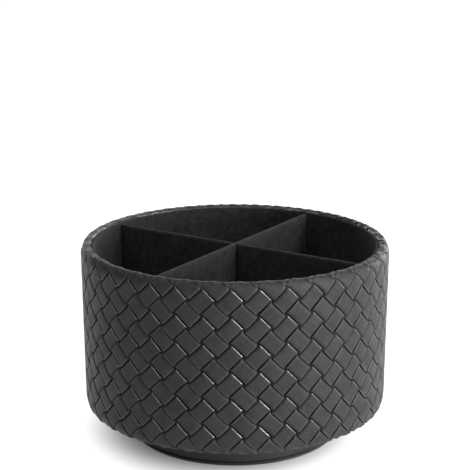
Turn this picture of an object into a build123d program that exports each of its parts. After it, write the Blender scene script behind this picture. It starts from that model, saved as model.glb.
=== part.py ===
from build123d import *
import os
from math import cos, radians, sin, sqrt

# Rotating pen holder: a round drum on a ball-bearing turntable.
# Millimetres, +Z up. The origin is on the table, under the middle of the base.

# Drum
drum_diameter = 180.0            # across the rim, outside the cover
drum_taper = 1.0                 # lower edge inside the rim by this, on the radius
overall_height = 118.0           # table to the top of the rim
underside_height = 19.5          # table to the lower edge of the drum

# Wall and its woven cover
wall_thickness = 3.2             # fibreboard tube
cover_thickness = 1.0            # woven leather, nominal
rim_edge_radius = 2.2            # rounding of the cover over the rim
lower_edge_radius = 1.2          # rounding of the cover under the wall
board_arris = 0.9                # bevel on the board's top edges, under the cover
turn_in_depth = 14.0             # cover glued down the inside of the wall
turn_under_width = 14.0          # cover glued under the floor

# Lining of the wall
lining_card_thickness = 0.8
velvet_thickness = 0.5
lining_drop = 1.4                # top of the lining below the top of the rim

# Floor
floor_thickness = 4.0
floor_card_thickness = 1.2
felt_thickness = 0.8             # sheet that hides the underside
felt_margin = 5.0                # bare cover left outside the felt
board_fit = 0.1                  # play of the floor board in the wall
lining_fit = 0.15                # play of the pad and the dividers in the lining
infill_fit = 0.2                 # play of the infill card in the turned-under cover

# Dividers
divider_board_thickness = 2.0
divider_drop = 2.4               # top of the dividers below the top of the rim
lap_fit = 0.1                    # play on each side of the half-lap

# Base
base_diameter = 126.0            # across the smooth band
foot_setback = 0.6               # still lip inside the band, on the radius
foot_height = 2.75               # table to the top of that lip
foot_edge_bevel = 0.5
running_gap = 0.5                # slot between the still lip and the turning band
band_thickness = 0.7             # smooth leather round the turntable
band_edge_bevel = 0.4
pad_margin = 2.4                 # lip left bare round the pad
pad_thickness = 1.0
pad_projection = 0.6             # pad below the foot plate

# Turntable housing
deck_thickness = 2.5
skirt_thickness = 2.2
rib_thickness = 2.0
rib_count = 6
rib_lift = 0.6                   # ribs above the crown of the upper race
seat_ring_width = 3.2            # ring that bears on the crown of the upper race
corner_web = 1.0                 # thickening where the skirt meets the deck
centre_boss_diameter = 14.0
race_boss_diameter = 8.0

# Ball bearing
ball_diameter = 5.0
ball_count = 10
ball_clearance = 0.12            # ball to race
pocket_clearance = 0.2           # ball to cage
race_thickness = 1.2
race_lip = 1.0                   # short flat edge beyond the groove
groove_angle = 60.0              # groove wraps the ball this far each side
lower_flange_width = 12.0        # from the ball circle inwards
upper_flange_width = 11.5        # from the ball circle outwards
cage_width = 7.6
cage_thickness = 1.4
race_clearance = 1.8             # upper race to the dust lip

# Foot plate
hub_diameter = 30.0
hub_height = 8.5
counterbore_diameter = 24.0
counterbore_height = 5.0         # table to the roof of the counterbore
journal_clearance = 0.1          # centre boss in the hub, on the radius
dust_lip_thickness = 2.0
dust_lip_height = 9.0
dust_lip_gap = 0.8               # to the inside of the skirt
foot_rib_count = 6
foot_rib_thickness = 1.6

# Fasteners
pivot_screw_diameter = 5.0
pivot_tip_cover = 2.05           # deck left above the tip of the pivot screw
pivot_head_diameter = 10.0
pivot_head_height = 2.4
washer_diameter = 22.0
washer_thickness = 1.2
axial_play = 0.15                # washer below the roof of the counterbore
race_screw_diameter = 2.6
upper_race_screw_length = 5.0
lower_race_screw_length = 3.4
race_head_diameter = 5.0
race_head_height = 1.5
race_screw_count = 3
deck_screw_diameter = 3.2
deck_screw_length = 7.6
deck_head_diameter = 6.4
deck_head_height = 1.8
deck_screw_count = 3
deck_screw_inset = 14.0          # from the ball circle inwards
thread_fit = 0.05                # screw in its pilot hole, on the radius
hole_fit = 0.2                   # screw in a clearance hole, on the radius

overrun = 1.0                    # cuts pass this far beyond a face
same_point = 0.001               # corners nearer than this are one corner

# Levels, from the table up
pad_top = pad_thickness
foot_bottom = pad_projection
band_bottom = foot_height + running_gap
skirt_bottom = band_bottom + band_thickness
board_bottom = underside_height + cover_thickness
deck_top = underside_height - felt_thickness
deck_bottom = deck_top - deck_thickness
floor_top = board_bottom + floor_thickness
pad_card_top = floor_top + floor_card_thickness
compartment_floor = pad_card_top + velvet_thickness
lining_top = overall_height - lining_drop
divider_top = overall_height - divider_drop
groove_radius = ball_diameter / 2 + ball_clearance
ball_level = foot_height + race_thickness + groove_radius
groove_rise = groove_radius * cos(radians(groove_angle))
groove_reach = groove_radius * sin(radians(groove_angle))
crown_radius = groove_radius + race_thickness
lower_flange_top = ball_level - groove_rise
upper_flange_bottom = ball_level + groove_rise
boss_end = counterbore_height - axial_play
pivot_head_level = boss_end - washer_thickness
pivot_screw_length = deck_top - pivot_tip_cover - pivot_head_level

# Radii of the wall's layers, counted inwards from the outer face
board_outset = cover_thickness
board_inset = board_outset + wall_thickness
rim_width = board_inset + cover_thickness
card_inset = rim_width + lining_card_thickness
lining_inset = card_inset + velvet_thickness
divider_thickness = divider_board_thickness + 2 * velvet_thickness
divider_top_radius = divider_thickness / 2 - lap_fit

# Radii of the underside and the base, from the outside inwards
underside_radius = drum_diameter / 2 - drum_taper
turn_under_radius = underside_radius - turn_under_width
felt_radius = underside_radius - felt_margin
base_radius = base_diameter / 2
foot_radius = base_radius - foot_setback
pad_radius = foot_radius - pad_margin
skirt_radius = base_radius - band_thickness
skirt_inner_radius = skirt_radius - skirt_thickness
dust_lip_radius = skirt_inner_radius - dust_lip_gap
upper_flange_edge = dust_lip_radius - dust_lip_thickness - race_clearance
ball_circle_radius = upper_flange_edge - upper_flange_width
lower_flange_edge = ball_circle_radius - lower_flange_width
deck_screw_radius = ball_circle_radius - deck_screw_inset
lower_screw_radius = ball_circle_radius - (groove_reach + lower_flange_width) / 2
upper_screw_radius = ball_circle_radius + (groove_reach + upper_flange_width) / 2
lower_screw_angle = 180 / race_screw_count

os.makedirs("parts", exist_ok=True)


def face_radius(level, inset=0.0):
    """Radius of the tapered wall at a level, so far inside its outer face."""
    drop = (overall_height - level) / (overall_height - underside_height)
    return drum_diameter / 2 - drum_taper * drop - inset


def at(sketch, radius, level):
    """The corner of a turned section at a radius and level."""
    corner = sketch.vertices().sort_by_distance((radius, level, 0))[0]
    assert abs(corner.X - radius) + abs(corner.Y - level) < same_point
    return corner


def save(builder, name):
    """Label a finished piece and write its file."""
    builder.part.label = name
    export_step(builder.part, f"parts/{name}.step")


def cheese_screw(diameter, length, head_diameter, head_height):
    """Cheese-headed screw along +Z, the underside of its head at zero."""
    with BuildPart() as screw:
        with BuildSketch(Plane.XZ):
            with BuildLine():
                Polyline(
                    (0, -head_height),
                    (head_diameter / 2, -head_height),
                    (head_diameter / 2, 0),
                    (diameter / 2, 0),
                    (diameter / 2, length),
                    (0, length),
                    close=True,
                )
            make_face()
        revolve(axis=Axis.Z)
    return screw.part


# Wall board: a tube of fibreboard with bevelled top edges
with BuildPart() as wall_board:
    with BuildSketch(Plane.XZ) as wall_section:
        board_top = overall_height - cover_thickness
        with BuildLine():
            Polyline(
                (face_radius(board_bottom, board_inset), board_bottom),
                (face_radius(board_bottom, board_outset), board_bottom),
                (face_radius(board_top, board_outset), board_top),
                (face_radius(board_top, board_inset), board_top),
                close=True,
            )
        make_face()
        chamfer(at(wall_section, face_radius(board_top, board_outset), board_top), board_arris)
        chamfer(at(wall_section, face_radius(board_top, board_inset), board_top), board_arris)
    revolve(axis=Axis.Z)
save(wall_board, "wall_board")

# Woven cover: up the outside, over the rim and under the floor
turn_in_end = overall_height - turn_in_depth
with BuildPart() as woven_cover:
    with BuildSketch(Plane.XZ) as cover_section:
        with BuildLine():
            Polyline(
                (turn_under_radius, underside_height),
                (face_radius(underside_height), underside_height),
                (face_radius(overall_height), overall_height),
                (face_radius(overall_height, rim_width), overall_height),
                (face_radius(turn_in_end, rim_width), turn_in_end),
                (face_radius(turn_in_end, board_inset), turn_in_end),
                (face_radius(board_top, board_inset), board_top),
                (face_radius(board_top, board_outset), board_top),
                (face_radius(board_bottom, board_outset), board_bottom),
                (turn_under_radius, board_bottom),
                close=True,
            )
        make_face()
        rim_rounding = min(rim_edge_radius, rim_width / 2 - same_point)
        fillet(at(cover_section, face_radius(overall_height), overall_height), rim_rounding)
        fillet(at(cover_section, face_radius(overall_height, rim_width), overall_height), rim_rounding)
        fillet(at(cover_section, face_radius(underside_height), underside_height), lower_edge_radius)
        chamfer(at(cover_section, face_radius(board_top, board_inset), board_top), board_arris)
        chamfer(at(cover_section, face_radius(board_top, board_outset), board_top), board_arris)
    revolve(axis=Axis.Z)
save(woven_cover, "woven_cover")

# Floor board, inside the wall and flush with its lower edge
pilot_depth = deck_bottom + deck_screw_length - board_bottom
with BuildPart() as floor_board:
    with BuildSketch(Plane.XY.offset(board_bottom)):
        Circle(face_radius(board_bottom, board_inset) - board_fit)
    extrude(amount=floor_thickness)
    with BuildSketch(Plane.XY.offset(board_bottom)):
        with PolarLocations(deck_screw_radius, deck_screw_count):
            Circle(deck_screw_diameter / 2 + thread_fit)
    extrude(amount=pilot_depth, mode=Mode.SUBTRACT)
save(floor_board, "floor_board")


def underside_disc(radius, level, thickness):
    """Sheet under the floor board, with clearance holes for the deck screws."""
    with BuildPart() as disc:
        with BuildSketch(Plane.XY.offset(level)):
            Circle(radius)
            with PolarLocations(deck_screw_radius, deck_screw_count):
                Circle(deck_screw_diameter / 2 + hole_fit, mode=Mode.SUBTRACT)
        extrude(amount=thickness)
    return disc


# Infill card, level with the turned-under cover, and the felt over both
save(underside_disc(turn_under_radius - infill_fit, underside_height, cover_thickness), "infill_card")
save(underside_disc(felt_radius, deck_top, felt_thickness), "underside_felt")

# Lining of the wall: a card tube that stands on the floor board
card_top = lining_top - velvet_thickness
with BuildPart() as wall_lining_card:
    with BuildSketch(Plane.XZ):
        with BuildLine():
            Polyline(
                (face_radius(floor_top, card_inset), floor_top),
                (face_radius(floor_top, rim_width), floor_top),
                (face_radius(card_top, rim_width), card_top),
                (face_radius(card_top, card_inset), card_top),
                close=True,
            )
        make_face()
    revolve(axis=Axis.Z)
save(wall_lining_card, "wall_lining_card")

# Velvet on the lining, turned over the top edge of the card
with BuildPart() as wall_lining_velvet:
    with BuildSketch(Plane.XZ) as velvet_section:
        with BuildLine():
            Polyline(
                (face_radius(floor_top, lining_inset), floor_top),
                (face_radius(floor_top, card_inset), floor_top),
                (face_radius(card_top, card_inset), card_top),
                (face_radius(card_top, rim_width), card_top),
                (face_radius(lining_top, rim_width), lining_top),
                (face_radius(lining_top, lining_inset), lining_top),
                close=True,
            )
        make_face()
        chamfer(at(velvet_section, face_radius(lining_top, lining_inset), lining_top), velvet_thickness / 2)
    revolve(axis=Axis.Z)
save(wall_lining_velvet, "wall_lining_velvet")

# Floor pad: a card disc on the floor board
pad_velvet_radius = face_radius(floor_top, lining_inset) - lining_fit
with BuildPart() as floor_pad_card:
    with BuildSketch(Plane.XY.offset(floor_top)):
        Circle(pad_velvet_radius - velvet_thickness)
    extrude(amount=floor_card_thickness)
save(floor_pad_card, "floor_pad_card")

# Velvet on the floor pad, turned down round its edge
with BuildPart() as floor_pad_velvet:
    with BuildSketch(Plane.XY.offset(floor_top)):
        Circle(pad_velvet_radius)
    extrude(amount=compartment_floor - floor_top)
    chamfer(floor_pad_velvet.edges().group_by(Axis.Z)[-1], velvet_thickness / 2)
    with BuildSketch(Plane.XY.offset(floor_top)):
        Circle(pad_velvet_radius - velvet_thickness)
    extrude(amount=floor_card_thickness, mode=Mode.SUBTRACT)
save(floor_pad_velvet, "floor_pad_velvet")


# Dividers: two velvet-covered boards, half-lapped into a cross
lap_level = (compartment_floor + divider_top) / 2
lap_width = divider_thickness + 2 * lap_fit


def divider_outline(edge):
    """Corners of a divider seen from its side, its top so far inside the velvet."""
    top = divider_top - edge
    low_reach = face_radius(compartment_floor, lining_inset) - lining_fit
    top_reach = face_radius(top, lining_inset) - lining_fit
    return (
        (-low_reach, compartment_floor),
        (low_reach, compartment_floor),
        (top_reach, top),
        (-top_reach, top),
    )


def lap_slot(plane, from_top):
    """Slot for the other divider, open at the top or at the bottom."""
    low = lap_level if from_top else compartment_floor - overrun
    high = divider_top + overrun if from_top else lap_level
    with BuildPart() as slot:
        with BuildSketch(plane):
            with Locations((0, (low + high) / 2)):
                Rectangle(lap_width, high - low)
        extrude(amount=divider_thickness, both=True)
    return slot.part


def divider_board(plane, from_top):
    """Stiff core of a divider."""
    with BuildPart() as board:
        with BuildSketch(plane):
            with BuildLine():
                Polyline(*divider_outline(velvet_thickness), close=True)
            make_face()
        extrude(amount=divider_board_thickness / 2, both=True)
        add(lap_slot(plane, from_top), mode=Mode.SUBTRACT)
    return board


def divider_velvet(plane, from_top):
    """Sleeve over both faces and the rounded top edge of a board."""
    with BuildPart() as sleeve:
        with BuildSketch(plane):
            with BuildLine():
                Polyline(*divider_outline(0), close=True)
            make_face()
        extrude(amount=divider_thickness / 2, both=True)
        top_face = sleeve.faces().sort_by(Axis.Z)[-1]
        fillet(top_face.edges().sort_by(SortBy.LENGTH)[-2:], divider_top_radius)
        with BuildSketch(plane):
            with BuildLine():
                Polyline(*divider_outline(velvet_thickness), close=True)
            make_face()
        extrude(amount=divider_board_thickness / 2, both=True, mode=Mode.SUBTRACT)
        add(lap_slot(plane, from_top), mode=Mode.SUBTRACT)
    return sleeve


for name, plane, from_top in (("long", Plane.XZ, True), ("cross", Plane.YZ, False)):
    save(divider_board(plane, from_top), f"divider_board_{name}")
    save(divider_velvet(plane, from_top), f"divider_velvet_{name}")

# Turntable housing: an upturned cup that turns with the drum
crown_level = ball_level + crown_radius
seat_inner_radius = ball_circle_radius - seat_ring_width / 2
seat_outer_radius = ball_circle_radius + seat_ring_width / 2
with BuildPart() as turntable_housing:
    with BuildSketch(Plane.XZ) as cup_section:
        with BuildLine():
            Polyline(
                (0, deck_top),
                (skirt_radius, deck_top),
                (skirt_radius, skirt_bottom),
                (skirt_inner_radius, skirt_bottom),
                (skirt_inner_radius, deck_bottom),
                (seat_outer_radius, deck_bottom),
                (seat_outer_radius, crown_level),
                (seat_inner_radius, crown_level),
                (seat_inner_radius, deck_bottom),
                (centre_boss_diameter / 2, deck_bottom),
                (centre_boss_diameter / 2, boss_end),
                (0, boss_end),
                close=True,
            )
        make_face()
        chamfer(at(cup_section, skirt_inner_radius, deck_bottom), corner_web)
    revolve(axis=Axis.Z)
    with BuildSketch(Plane.XY.offset(crown_level + rib_lift)):
        with PolarLocations(0, rib_count, start_angle=180 / rib_count):
            with Locations((ball_circle_radius / 2, 0)):
                Rectangle(ball_circle_radius, rib_thickness)
    extrude(amount=deck_bottom - crown_level - rib_lift)
    with BuildSketch(Plane.XY.offset(upper_flange_bottom + race_thickness)):
        with PolarLocations(upper_screw_radius, race_screw_count):
            Circle(race_boss_diameter / 2)
    extrude(until=Until.NEXT)
    with BuildSketch(Plane.XY.offset(boss_end)):
        Circle(pivot_screw_diameter / 2 + thread_fit)
    extrude(amount=pivot_screw_length, mode=Mode.SUBTRACT)
    with BuildSketch(Plane.XY.offset(upper_flange_bottom + race_thickness)):
        with PolarLocations(upper_screw_radius, race_screw_count):
            Circle(race_screw_diameter / 2 + thread_fit)
    extrude(amount=upper_race_screw_length, mode=Mode.SUBTRACT)
    with BuildSketch(Plane.XY.offset(deck_bottom)):
        with PolarLocations(deck_screw_radius, deck_screw_count):
            Circle(deck_screw_diameter / 2 + hole_fit)
    extrude(amount=deck_thickness, mode=Mode.SUBTRACT)
save(turntable_housing, "turntable_housing")

# Smooth leather band round the housing, turned under its lower edge
with BuildPart() as base_band:
    with BuildSketch(Plane.XZ) as band_section:
        with BuildLine():
            Polyline(
                (skirt_inner_radius, band_bottom),
                (base_radius, band_bottom),
                (base_radius, deck_top),
                (skirt_radius, deck_top),
                (skirt_radius, skirt_bottom),
                (skirt_inner_radius, skirt_bottom),
                close=True,
            )
        make_face()
        chamfer(at(band_section, base_radius, band_bottom), band_edge_bevel)
    revolve(axis=Axis.Z)
save(base_band, "base_band")

# Foot plate: the still half of the turntable, with its hub and dust lip
with BuildPart() as foot_plate:
    with BuildSketch(Plane.XZ) as foot_section:
        with BuildLine():
            Polyline(
                (0, foot_bottom),
                (foot_radius, foot_bottom),
                (foot_radius, foot_height),
                (0, foot_height),
                close=True,
            )
        make_face()
        chamfer(at(foot_section, foot_radius, foot_bottom), foot_edge_bevel)
        chamfer(at(foot_section, foot_radius, foot_height), foot_edge_bevel)
    revolve(axis=Axis.Z)
    with BuildSketch(Plane.XY.offset(foot_height)):
        Circle(dust_lip_radius)
        Circle(dust_lip_radius - dust_lip_thickness, mode=Mode.SUBTRACT)
    extrude(amount=dust_lip_height - foot_height)
    with BuildSketch(Plane.XY.offset(foot_height)):
        with PolarLocations(0, foot_rib_count, start_angle=180 / foot_rib_count):
            with Locations((lower_flange_edge / 2, 0)):
                Rectangle(lower_flange_edge, foot_rib_thickness)
        with PolarLocations(lower_screw_radius, race_screw_count, start_angle=lower_screw_angle):
            Circle(race_boss_diameter / 2)
    extrude(amount=lower_flange_top - race_thickness - foot_height)
    with BuildSketch(Plane.XY.offset(foot_height)):
        Circle(hub_diameter / 2)
    extrude(amount=hub_height - foot_height)
    with BuildSketch(Plane.XY.offset(hub_height)):
        Circle(centre_boss_diameter / 2 + journal_clearance)
    extrude(amount=-hub_height, mode=Mode.SUBTRACT)
    with BuildSketch(Plane.XY.offset(counterbore_height)):
        Circle(counterbore_diameter / 2)
    extrude(amount=-counterbore_height, mode=Mode.SUBTRACT)
    with BuildSketch(Plane.XY.offset(pad_top)):
        Circle(pad_radius)
    extrude(amount=-pad_thickness, mode=Mode.SUBTRACT)
    with BuildSketch(Plane.XY.offset(lower_flange_top - race_thickness)):
        with PolarLocations(lower_screw_radius, race_screw_count, start_angle=lower_screw_angle):
            Circle(race_screw_diameter / 2 + thread_fit)
    extrude(amount=race_thickness - lower_race_screw_length, mode=Mode.SUBTRACT)
save(foot_plate, "foot_plate")

# Foam pad glued into the underside of the foot plate
with BuildPart() as foot_pad:
    with BuildSketch(Plane.XY):
        Circle(pad_radius)
    extrude(amount=pad_thickness)
save(foot_pad, "foot_pad")


def race(side, flange_width, screw_start):
    """Pressed ring round the ball circle: groove, screwed flange on one side, lip on the other.
    side is -1 below the balls with the flange inwards, +1 above them with the flange outwards.
    The back has a flat crown, and flanks square to the groove's radius at its ends."""
    flange = ball_circle_radius + side * flange_width
    lip = ball_circle_radius - side * (groove_reach + race_lip)
    near = ball_level + side * groove_rise
    far = near + side * race_thickness
    crown = ball_level + side * crown_radius
    back_height = groove_rise + race_thickness
    back_reach = sqrt(crown_radius**2 - back_height**2)
    crown_reach = crown_radius * back_reach / (crown_radius + back_height)
    flange_middle = ball_circle_radius + side * (groove_reach + flange_width) / 2
    with BuildPart() as ring:
        with BuildSketch(Plane.XZ):
            with BuildLine():
                Line((flange, near), (ball_circle_radius + side * groove_reach, near))
                ThreePointArc(
                    (ball_circle_radius + side * groove_reach, near),
                    (ball_circle_radius, ball_level + side * groove_radius),
                    (ball_circle_radius - side * groove_reach, near),
                )
                Polyline(
                    (ball_circle_radius - side * groove_reach, near),
                    (lip, near),
                    (lip, far),
                    (ball_circle_radius - side * back_reach, far),
                    (ball_circle_radius - side * crown_reach, crown),
                    (ball_circle_radius + side * crown_reach, crown),
                    (ball_circle_radius + side * back_reach, far),
                    (flange, far),
                    (flange, near),
                )
            make_face()
        revolve(axis=Axis.Z)
        with BuildSketch(Plane.XY.offset(near)):
            with PolarLocations(flange_middle, race_screw_count, start_angle=screw_start):
                Circle(race_screw_diameter / 2 + hole_fit)
        extrude(amount=side * race_thickness, mode=Mode.SUBTRACT)
    return ring


# Lower race, screwed to the bosses of the foot plate, and upper race, to those of the housing
save(race(-1, lower_flange_width, lower_screw_angle), "lower_race")
save(race(1, upper_flange_width, 0), "upper_race")

# Ball cage: a flat ring with a pocket for each ball
with BuildPart() as ball_cage:
    with BuildSketch(Plane.XY.offset(ball_level)):
        Circle(ball_circle_radius + cage_width / 2)
        Circle(ball_circle_radius - cage_width / 2, mode=Mode.SUBTRACT)
        with PolarLocations(ball_circle_radius, ball_count):
            Circle(ball_diameter / 2 + pocket_clearance, mode=Mode.SUBTRACT)
    extrude(amount=cage_thickness / 2, both=True)
save(ball_cage, "ball_cage")

# Bearing balls
with BuildPart() as bearing_balls:
    with Locations((0, 0, ball_level)):
        with PolarLocations(ball_circle_radius, ball_count):
            Sphere(ball_diameter / 2)
save(bearing_balls, "bearing_balls")

# Pivot washer, clamped to the end of the centre boss
with BuildPart() as pivot_washer:
    with BuildSketch(Plane.XY.offset(pivot_head_level)):
        Circle(washer_diameter / 2)
        Circle(pivot_screw_diameter / 2 + hole_fit, mode=Mode.SUBTRACT)
    extrude(amount=washer_thickness)
save(pivot_washer, "pivot_washer")

# Pivot screw, driven up into the centre boss
pivot_pattern = cheese_screw(pivot_screw_diameter, pivot_screw_length, pivot_head_diameter, pivot_head_height)
with BuildPart() as pivot_screw:
    with Locations((0, 0, pivot_head_level)):
        add(pivot_pattern)
save(pivot_screw, "pivot_screw")

# Screws that hold the housing to the floor board
deck_pattern = cheese_screw(deck_screw_diameter, deck_screw_length, deck_head_diameter, deck_head_height)
with BuildPart() as deck_screws:
    with Locations((0, 0, deck_bottom)):
        with PolarLocations(deck_screw_radius, deck_screw_count):
            add(deck_pattern)
save(deck_screws, "deck_screws")

# Screws of the upper race, driven upwards
upper_pattern = cheese_screw(race_screw_diameter, upper_race_screw_length, race_head_diameter, race_head_height)
with BuildPart() as upper_race_screws:
    with Locations((0, 0, upper_flange_bottom)):
        with PolarLocations(upper_screw_radius, race_screw_count):
            add(upper_pattern)
save(upper_race_screws, "upper_race_screws")

# Screws of the lower race, driven downwards
lower_pattern = cheese_screw(race_screw_diameter, lower_race_screw_length, race_head_diameter, race_head_height)
with BuildPart() as lower_race_screws:
    with Locations(Location((0, 0, lower_flange_top), (180, 0, 0))):
        with PolarLocations(lower_screw_radius, race_screw_count, start_angle=lower_screw_angle):
            add(lower_pattern)
save(lower_race_screws, "lower_race_screws")
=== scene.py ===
"""Rotating pen holder: its finishes and soft parts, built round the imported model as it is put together."""

import math

import bmesh
import bpy
import numpy as np
from mathutils import Matrix, Vector, noise


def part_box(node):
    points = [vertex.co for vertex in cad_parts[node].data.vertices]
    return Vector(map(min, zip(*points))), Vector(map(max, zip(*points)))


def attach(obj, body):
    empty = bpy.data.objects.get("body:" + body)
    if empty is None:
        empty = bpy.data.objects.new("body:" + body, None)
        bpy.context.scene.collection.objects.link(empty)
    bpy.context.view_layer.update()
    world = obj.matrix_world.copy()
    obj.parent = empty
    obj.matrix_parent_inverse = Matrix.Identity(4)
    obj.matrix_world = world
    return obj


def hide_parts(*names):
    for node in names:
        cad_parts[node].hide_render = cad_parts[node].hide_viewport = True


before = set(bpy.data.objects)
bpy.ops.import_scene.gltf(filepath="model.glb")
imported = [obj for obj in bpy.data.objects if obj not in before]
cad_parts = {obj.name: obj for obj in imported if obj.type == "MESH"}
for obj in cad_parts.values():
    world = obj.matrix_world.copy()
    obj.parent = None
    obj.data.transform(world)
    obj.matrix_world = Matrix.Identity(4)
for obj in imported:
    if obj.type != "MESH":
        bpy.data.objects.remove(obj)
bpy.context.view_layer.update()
mm = 0.001


# Foot pad
# A disc of closed-cell foam, die cut and glued into the underside of the foot plate. It grips the
# table, and its cut edge is slightly rounded by the weight of the drum.

def feed(tree, node, inputs):
    """Gives a node its inputs. Each is a value, or another node's output that is joined to it."""
    for name, value in inputs.items():
        if isinstance(value, bpy.types.NodeSocket):
            tree.links.new(value, node.inputs[name])
        else:
            node.inputs[name].default_value = value


def add(tree, kind, inputs=None, **settings):
    """A new node in a tree, with its settings and its inputs."""
    node = tree.nodes.new(kind)
    for name, value in settings.items():
        setattr(node, name, value)
    feed(tree, node, inputs or {})
    return node


def calculate(tree, operation, first, second=0.0):
    """Output of a math node on two values or outputs."""
    return add(tree, "ShaderNodeMath", {0: first, 1: second}, operation=operation).outputs[0]


def spread(tree, value, low, high, start=0.0, end=1.0):
    """Output that runs from start to end as a value runs from low to high, and stays inside them."""
    names = {"Value": value, "From Min": low, "From Max": high, "To Min": start, "To Max": end}
    return add(tree, "ShaderNodeMapRange", names).outputs["Result"]


def blend_colours(tree, share, first, second):
    """Output between two colours."""
    return add(tree, "ShaderNodeMix", {0: share, 6: first, 7: second}, data_type="RGBA").outputs[2]


def new_group(name, kind, inputs, outputs):
    """An empty node group with named sockets, and its two end nodes."""
    tree = bpy.data.node_groups.new(name, kind)
    for way, sockets in (("INPUT", inputs), ("OUTPUT", outputs)):
        for socket, socket_kind in sockets.items():
            tree.interface.new_socket(socket, in_out=way, socket_type=f"NodeSocket{socket_kind}")
    return tree, tree.nodes.new("NodeGroupInput").outputs, tree.nodes.new("NodeGroupOutput").inputs


def soft_noise(tree, place, scale, detail, roughness=0.5):
    """Output of a smooth noise from 0 to 1, with finer detail laid over it."""
    inputs = {"Vector": place, "Scale": scale, "Detail": detail, "Roughness": roughness}
    return add(tree, "ShaderNodeTexNoise", inputs).outputs["Fac"]


def pile_group():
    """Matted fibres or foam cells: a fine height, and a shade that drifts in soft patches."""
    tree, given, made = new_group(
        "fibre_pile",
        "ShaderNodeTree",
        {"Place": "Vector", "Fibres per metre": "Float", "Patches per metre": "Float"},
        {"Height": "Float", "Shade": "Float"},
    )
    fine_share, broad_share = 0.4, 0.6
    fibres = soft_noise(tree, given["Place"], given["Fibres per metre"], 3.0)
    patches = soft_noise(tree, given["Place"], given["Patches per metre"], 2.0)
    fine = calculate(tree, "MULTIPLY", spread(tree, fibres, 0.3, 0.7), fine_share)
    broad = calculate(tree, "MULTIPLY", spread(tree, patches, 0.35, 0.65), broad_share)
    tree.links.new(fibres, made["Height"])
    tree.links.new(calculate(tree, "ADD", fine, broad), made["Shade"])
    return tree


fibre_pile = pile_group()


def new_material(name):
    """A material, its tree, its surface shader and the place on the piece that its patterns follow."""
    material = bpy.data.materials.new(name)
    material.use_nodes = True
    tree = material.node_tree
    place = add(tree, "ShaderNodeTexCoord").outputs["Object"]
    return material, tree, tree.nodes["Principled BSDF"], place


def raise_relief(tree, surface, height, depth):
    """Bump on a surface, over any that it has, from a height of 0 to 1 that stands for a real depth."""
    inputs = {"Height": height, "Distance": depth}
    for link in surface.inputs["Normal"].links:
        inputs["Normal"] = link.from_socket
    bump = add(tree, "ShaderNodeBump", inputs)
    tree.links.new(bump.outputs["Normal"], surface.inputs["Normal"])


def fibrous(name, dark, light, fibres, patches, depth, roughness, sheen=0.0):
    """Material of matted fibres or cells, mottled between two colours."""
    material, tree, surface, place = new_material(name)
    sizes = {"Place": place, "Fibres per metre": fibres, "Patches per metre": patches}
    pile = add(tree, "ShaderNodeGroup", sizes, node_tree=fibre_pile).outputs
    finish = {
        "Base Color": blend_colours(tree, pile["Shade"], (*dark, 1), (*light, 1)),
        "Roughness": spread(tree, pile["Shade"], 0, 1, roughness, 1.0),
        "Specular IOR Level": 0.25,
        "Sheen Weight": sheen,
        "Sheen Roughness": 0.35,
    }
    feed(tree, surface, finish)
    raise_relief(tree, surface, pile["Height"], depth)
    return material


def rounded(corners, steps=5):
    """Closed outline in radius and level. A corner is (radius, level), or has its rounding as well."""
    outline = []
    for i, corner in enumerate(corners):
        here = Vector(corner[:2])
        size = corner[2] if len(corner) > 2 else 0.0
        if size == 0.0:
            outline.append(tuple(here))
            continue
        back = (Vector(corners[i - 1][:2]) - here).normalized()
        ahead = (Vector(corners[(i + 1) % len(corners)][:2]) - here).normalized()
        half = back.angle(ahead) / 2
        middle = here + (back + ahead).normalized() * size / math.sin(half)
        first = here + back * size / math.tan(half) - middle
        last = here + ahead * size / math.tan(half) - middle
        sweep = math.pi - 2 * half
        for step in range(steps + 1):
            share = step / steps
            arm = first * math.sin((1 - share) * sweep) + last * math.sin(share * sweep)
            outline.append(tuple(middle + arm / math.sin(sweep)))
    return outline


def divided(outline, longest):
    """Outline with its sides divided, so that no step is longer than the longest."""
    points = []
    for start, end in zip(outline, outline[1:] + outline[:1]):
        steps = max(1, math.ceil(math.dist(start, end) / longest))
        side = np.array(end) - np.array(start)
        points += [tuple(np.array(start) + side * step / steps) for step in range(steps)]
    return points


def turned_mesh(name, outline, longest, segments):
    """Mesh that a closed outline sweeps round the spindle. Points on the axis become one pole."""
    points, faces, rows = [], [], []
    pole_radius = 1e-7
    for radius, level in divided(outline, longest):
        if radius < pole_radius:
            rows.append([len(points)] * segments)
            points.append((0, 0, level))
            continue
        rows.append(list(range(len(points), len(points) + segments)))
        angles = np.arange(segments) * 2 * math.pi / segments
        points += [(radius * math.cos(a), radius * math.sin(a), level) for a in angles]
    for near, far in zip(rows, rows[1:] + rows[:1]):
        for i in range(segments):
            j = (i + 1) % segments
            loop = list(dict.fromkeys((near[i], near[j], far[j], far[i])))
            if len(loop) > 2:
                faces.append(loop)
    return new_mesh(name, points, faces)


def new_mesh(name, points, faces):
    """Smooth mesh with its faces turned outwards."""
    mesh = bpy.data.meshes.new(name)
    mesh.from_pydata([tuple(p) for p in points], [], faces)
    mesh.validate()
    mesh.update()
    if signed_volume(mesh) < 0:
        mesh.flip_normals()
    mesh.shade_smooth()
    return mesh


def signed_volume(mesh):
    """Six times the volume inside a closed mesh, negative when it is inside out."""
    mesh.calc_loop_triangles()
    points = np.empty(len(mesh.vertices) * 3, np.float32)
    mesh.vertices.foreach_get("co", points)
    corners = np.empty(len(mesh.loop_triangles) * 3, np.int32)
    mesh.loop_triangles.foreach_get("vertices", corners)
    a, b, c = points.reshape(-1, 3).astype(float)[corners].reshape(-1, 3, 3).transpose(1, 0, 2)
    return float((a * np.cross(b, c)).sum())


def new_object(name, data):
    """An object in the scene, at the origin."""
    item = bpy.data.objects.new(name, data)
    bpy.context.scene.collection.objects.link(item)
    return item


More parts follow.
